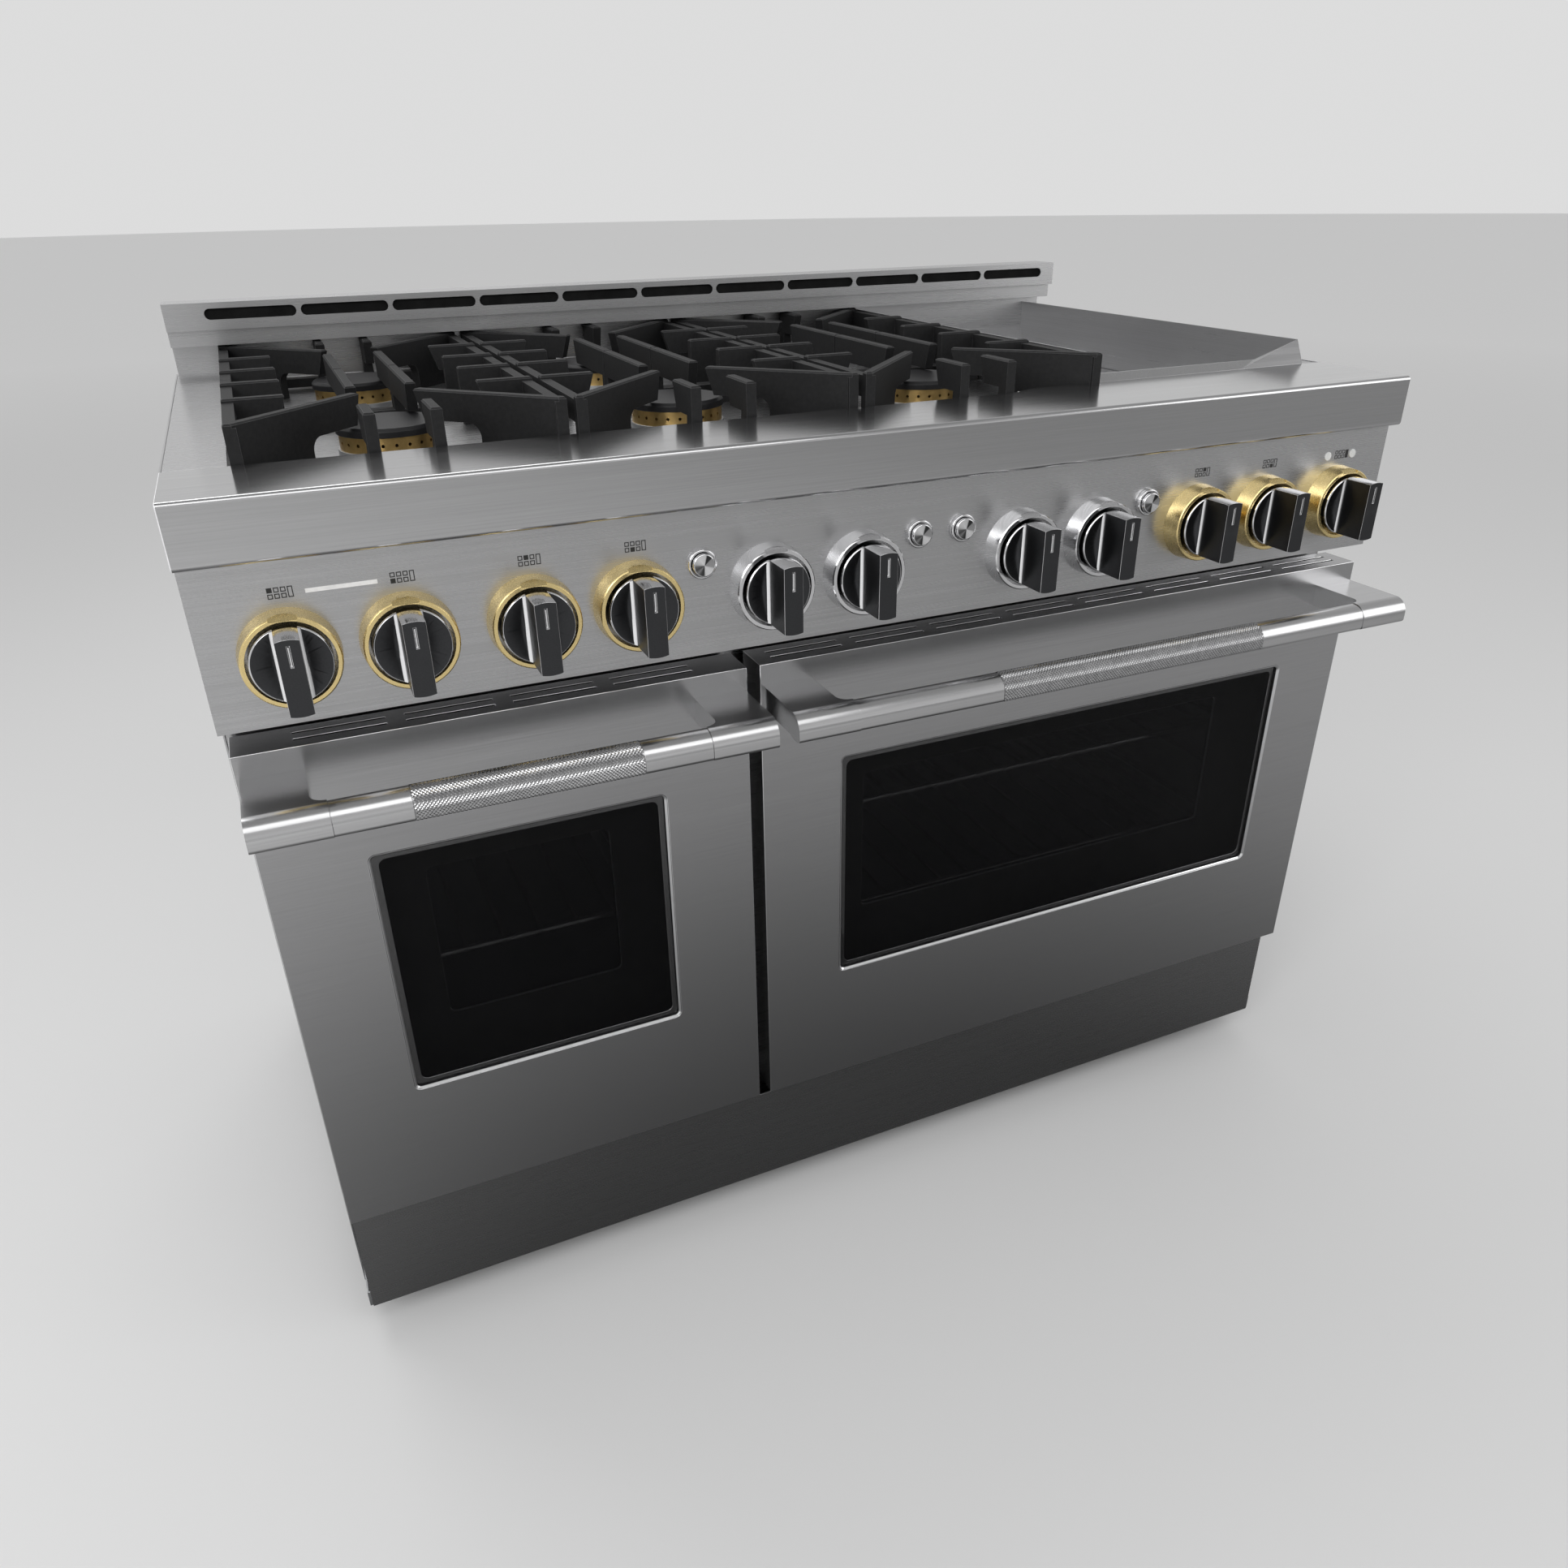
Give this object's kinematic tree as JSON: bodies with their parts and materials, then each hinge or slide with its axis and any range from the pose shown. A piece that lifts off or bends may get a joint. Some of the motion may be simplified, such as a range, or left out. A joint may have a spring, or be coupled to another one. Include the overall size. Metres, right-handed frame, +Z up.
{
  "type": "gas range",
  "caption": "Restaurant-style steel gas range: open burners under black cast grates, a griddle, two side-by-side ovens with bar handles, brass collars and a low vented backguard.",
  "frame": {"origin": "on the floor, under the middle of the bounding box", "axes": "+X to the cook's right, +Y to the back, +Z up"},
  "size_m": [1.216, 0.768, 0.994],
  "materials": {
    "steel": "brushed stainless steel",
    "rail_steel": "polished stainless steel",
    "zinc_steel": "zinc-coated sheet",
    "bright_trim": "polished",
    "handle_steel": "brushed, knurled at the grip",
    "brass": "satin",
    "black_iron": "matte black enamel",
    "griddle_steel": "ground steel",
    "enamel": "dark vitreous enamel",
    "wire": "bright wire",
    "window_glass": "dark tinted glass",
    "gasket": "woven seal",
    "valve_brass": "plain",
    "control_body": "moulded",
    "lamp": "translucent lens",
    "foot": "plated"
  },
  "bodies": {
    "cabinet": {"side_panels": "steel", "back_panel": "zinc_steel", "base_pan": "zinc_steel", "leveling_legs": "foot", "kick_plate": "steel", "front_frame": "steel", "landing_rail": "rail_steel", "control_panel": "steel", "burner_deck": "steel", "backguard": "steel", "burner_bases": "zinc_steel", "burner_rings": "brass", "burner_caps": "black_iron", "grate_left": "black_iron", "grate_center": "black_iron", "grate_right": "black_iron", "griddle_tub": "steel", "griddle_plate": "griddle_steel", "oven_liner_left": "enamel", "oven_liner_right": "enamel", "gas_manifold": "valve_brass", "oven_controls": "control_body", "hinge_brackets": "zinc_steel", "brass_bezels": "brass", "steel_bezels": "bright_trim", "indicator_lamps": "lamp", "oven_gaskets": "gasket"},
    "door_left": {"door_left_skin": "steel", "door_left_glass": "window_glass", "door_left_liner": "enamel", "door_left_handle": "handle_steel"},
    "door_right": {"door_right_skin": "steel", "door_right_glass": "window_glass", "door_right_liner": "enamel", "door_right_handle": "handle_steel"},
    "rack_left": {"rack_left": "wire"},
    "rack_right_upper": {"rack_right_upper": "wire"},
    "rack_right_lower": {"rack_right_lower": "wire"},
    "gas_stem_1": {"gas_stem_1": "foot"},
    "gas_stem_2": {"gas_stem_2": "foot"},
    "gas_stem_3": {"gas_stem_3": "foot"},
    "gas_stem_4": {"gas_stem_4": "foot"},
    "gas_stem_5": {"gas_stem_5": "foot"},
    "gas_stem_6": {"gas_stem_6": "foot"},
    "gas_stem_7": {"gas_stem_7": "foot"},
    "gas_knob_1": {"gas_knob_1": "bright_trim"},
    "gas_knob_2": {"gas_knob_2": "bright_trim"},
    "gas_knob_3": {"gas_knob_3": "bright_trim"},
    "gas_knob_4": {"gas_knob_4": "bright_trim"},
    "gas_knob_5": {"gas_knob_5": "bright_trim"},
    "gas_knob_6": {"gas_knob_6": "bright_trim"},
    "gas_knob_7": {"gas_knob_7": "bright_trim"},
    "oven_knob_1": {"oven_knob_1": "bright_trim"},
    "oven_knob_2": {"oven_knob_2": "bright_trim"},
    "oven_knob_3": {"oven_knob_3": "bright_trim"},
    "oven_knob_4": {"oven_knob_4": "bright_trim"},
    "button_1": {"button_1": "bright_trim"},
    "button_2": {"button_2": "bright_trim"},
    "button_3": {"button_3": "bright_trim"},
    "button_4": {"button_4": "bright_trim"}
  },
  "joints": [
    {"name": "door_left_hinge", "type": "hinge", "parent": "cabinet", "child": "door_left", "pos_m": [-0.3805, -0.276, 0.198], "axis": [1, 0, 0], "range_deg": [0, 90], "stiffness_Nm_per_rad": 9, "springref_deg": -14.32},
    {"name": "door_right_hinge", "type": "hinge", "parent": "cabinet", "child": "door_right", "pos_m": [0.229, -0.276, 0.198], "axis": [1, 0, 0], "range_deg": [0, 90], "stiffness_Nm_per_rad": 15, "springref_deg": -14.32},
    {"name": "rack_left_slide", "type": "slide", "parent": "cabinet", "child": "rack_left", "axis": [0, -1, 0], "range_m": [0, 0.038]},
    {"name": "rack_right_upper_slide", "type": "slide", "parent": "cabinet", "child": "rack_right_upper", "axis": [0, -1, 0], "range_m": [0, 0.038]},
    {"name": "rack_right_lower_slide", "type": "slide", "parent": "cabinet", "child": "rack_right_lower", "axis": [0, -1, 0], "range_m": [0, 0.038]},
    {"name": "gas_stem_1_push", "type": "slide", "parent": "cabinet", "child": "gas_stem_1", "axis": [0, 1, 0], "range_m": [0, 0.003], "stiffness_N_per_m": 800, "springref_m": -0.004},
    {"name": "gas_knob_1_turn", "type": "hinge", "parent": "gas_stem_1", "child": "gas_knob_1", "pos_m": [-0.5415, -0.318, 0.785], "axis": [0, -1, 0], "range_deg": [0, 270]},
    {"name": "gas_stem_2_push", "type": "slide", "parent": "cabinet", "child": "gas_stem_2", "axis": [0, 1, 0], "range_m": [0, 0.003], "stiffness_N_per_m": 800, "springref_m": -0.004},
    {"name": "gas_knob_2_turn", "type": "hinge", "parent": "gas_stem_2", "child": "gas_knob_2", "pos_m": [-0.451, -0.318, 0.785], "axis": [0, -1, 0], "range_deg": [0, 270]},
    {"name": "gas_stem_3_push", "type": "slide", "parent": "cabinet", "child": "gas_stem_3", "axis": [0, 1, 0], "range_m": [0, 0.003], "stiffness_N_per_m": 800, "springref_m": -0.004},
    {"name": "gas_knob_3_turn", "type": "hinge", "parent": "gas_stem_3", "child": "gas_knob_3", "pos_m": [-0.35, -0.318, 0.785], "axis": [0, -1, 0], "range_deg": [0, 270]},
    {"name": "gas_stem_4_push", "type": "slide", "parent": "cabinet", "child": "gas_stem_4", "axis": [0, 1, 0], "range_m": [0, 0.003], "stiffness_N_per_m": 800, "springref_m": -0.004},
    {"name": "gas_knob_4_turn", "type": "hinge", "parent": "gas_stem_4", "child": "gas_knob_4", "pos_m": [-0.2595, -0.318, 0.785], "axis": [0, -1, 0], "range_deg": [0, 270]},
    {"name": "gas_stem_5_push", "type": "slide", "parent": "cabinet", "child": "gas_stem_5", "axis": [0, 1, 0], "range_m": [0, 0.003], "stiffness_N_per_m": 800, "springref_m": -0.004},
    {"name": "gas_knob_5_turn", "type": "hinge", "parent": "gas_stem_5", "child": "gas_knob_5", "pos_m": [0.35, -0.318, 0.785], "axis": [0, -1, 0], "range_deg": [0, 270]},
    {"name": "gas_stem_6_push", "type": "slide", "parent": "cabinet", "child": "gas_stem_6", "axis": [0, 1, 0], "range_m": [0, 0.003], "stiffness_N_per_m": 800, "springref_m": -0.004},
    {"name": "gas_knob_6_turn", "type": "hinge", "parent": "gas_stem_6", "child": "gas_knob_6", "pos_m": [0.4405, -0.318, 0.785], "axis": [0, -1, 0], "range_deg": [0, 270]},
    {"name": "gas_stem_7_push", "type": "slide", "parent": "cabinet", "child": "gas_stem_7", "axis": [0, 1, 0], "range_m": [0, 0.003], "stiffness_N_per_m": 800, "springref_m": -0.004},
    {"name": "gas_knob_7_turn", "type": "hinge", "parent": "gas_stem_7", "child": "gas_knob_7", "pos_m": [0.542, -0.318, 0.785], "axis": [0, -1, 0], "range_deg": [0, 270]},
    {"name": "oven_knob_1_turn", "type": "hinge", "parent": "cabinet", "child": "oven_knob_1", "pos_m": [-0.135, -0.318, 0.785], "axis": [0, 1, 0], "range_deg": [0, 300]},
    {"name": "oven_knob_2_turn", "type": "hinge", "parent": "cabinet", "child": "oven_knob_2", "pos_m": [-0.0425, -0.318, 0.785], "axis": [0, 1, 0], "range_deg": [0, 300]},
    {"name": "oven_knob_3_turn", "type": "hinge", "parent": "cabinet", "child": "oven_knob_3", "pos_m": [0.1315, -0.318, 0.785], "axis": [0, 1, 0], "range_deg": [0, 300]},
    {"name": "oven_knob_4_turn", "type": "hinge", "parent": "cabinet", "child": "oven_knob_4", "pos_m": [0.224, -0.318, 0.785], "axis": [0, 1, 0], "range_deg": [0, 300]},
    {"name": "button_1_push", "type": "slide", "parent": "cabinet", "child": "button_1", "axis": [0, 1, 0], "range_m": [0, 0.0025], "stiffness_N_per_m": 500, "springref_m": -0.003},
    {"name": "button_2_push", "type": "slide", "parent": "cabinet", "child": "button_2", "axis": [0, 1, 0], "range_m": [0, 0.0025], "stiffness_N_per_m": 500, "springref_m": -0.003},
    {"name": "button_3_push", "type": "slide", "parent": "cabinet", "child": "button_3", "axis": [0, 1, 0], "range_m": [0, 0.0025], "stiffness_N_per_m": 500, "springref_m": -0.003},
    {"name": "button_4_push", "type": "slide", "parent": "cabinet", "child": "button_4", "axis": [0, 1, 0], "range_m": [0, 0.0025], "stiffness_N_per_m": 500, "springref_m": -0.003}
  ]
}
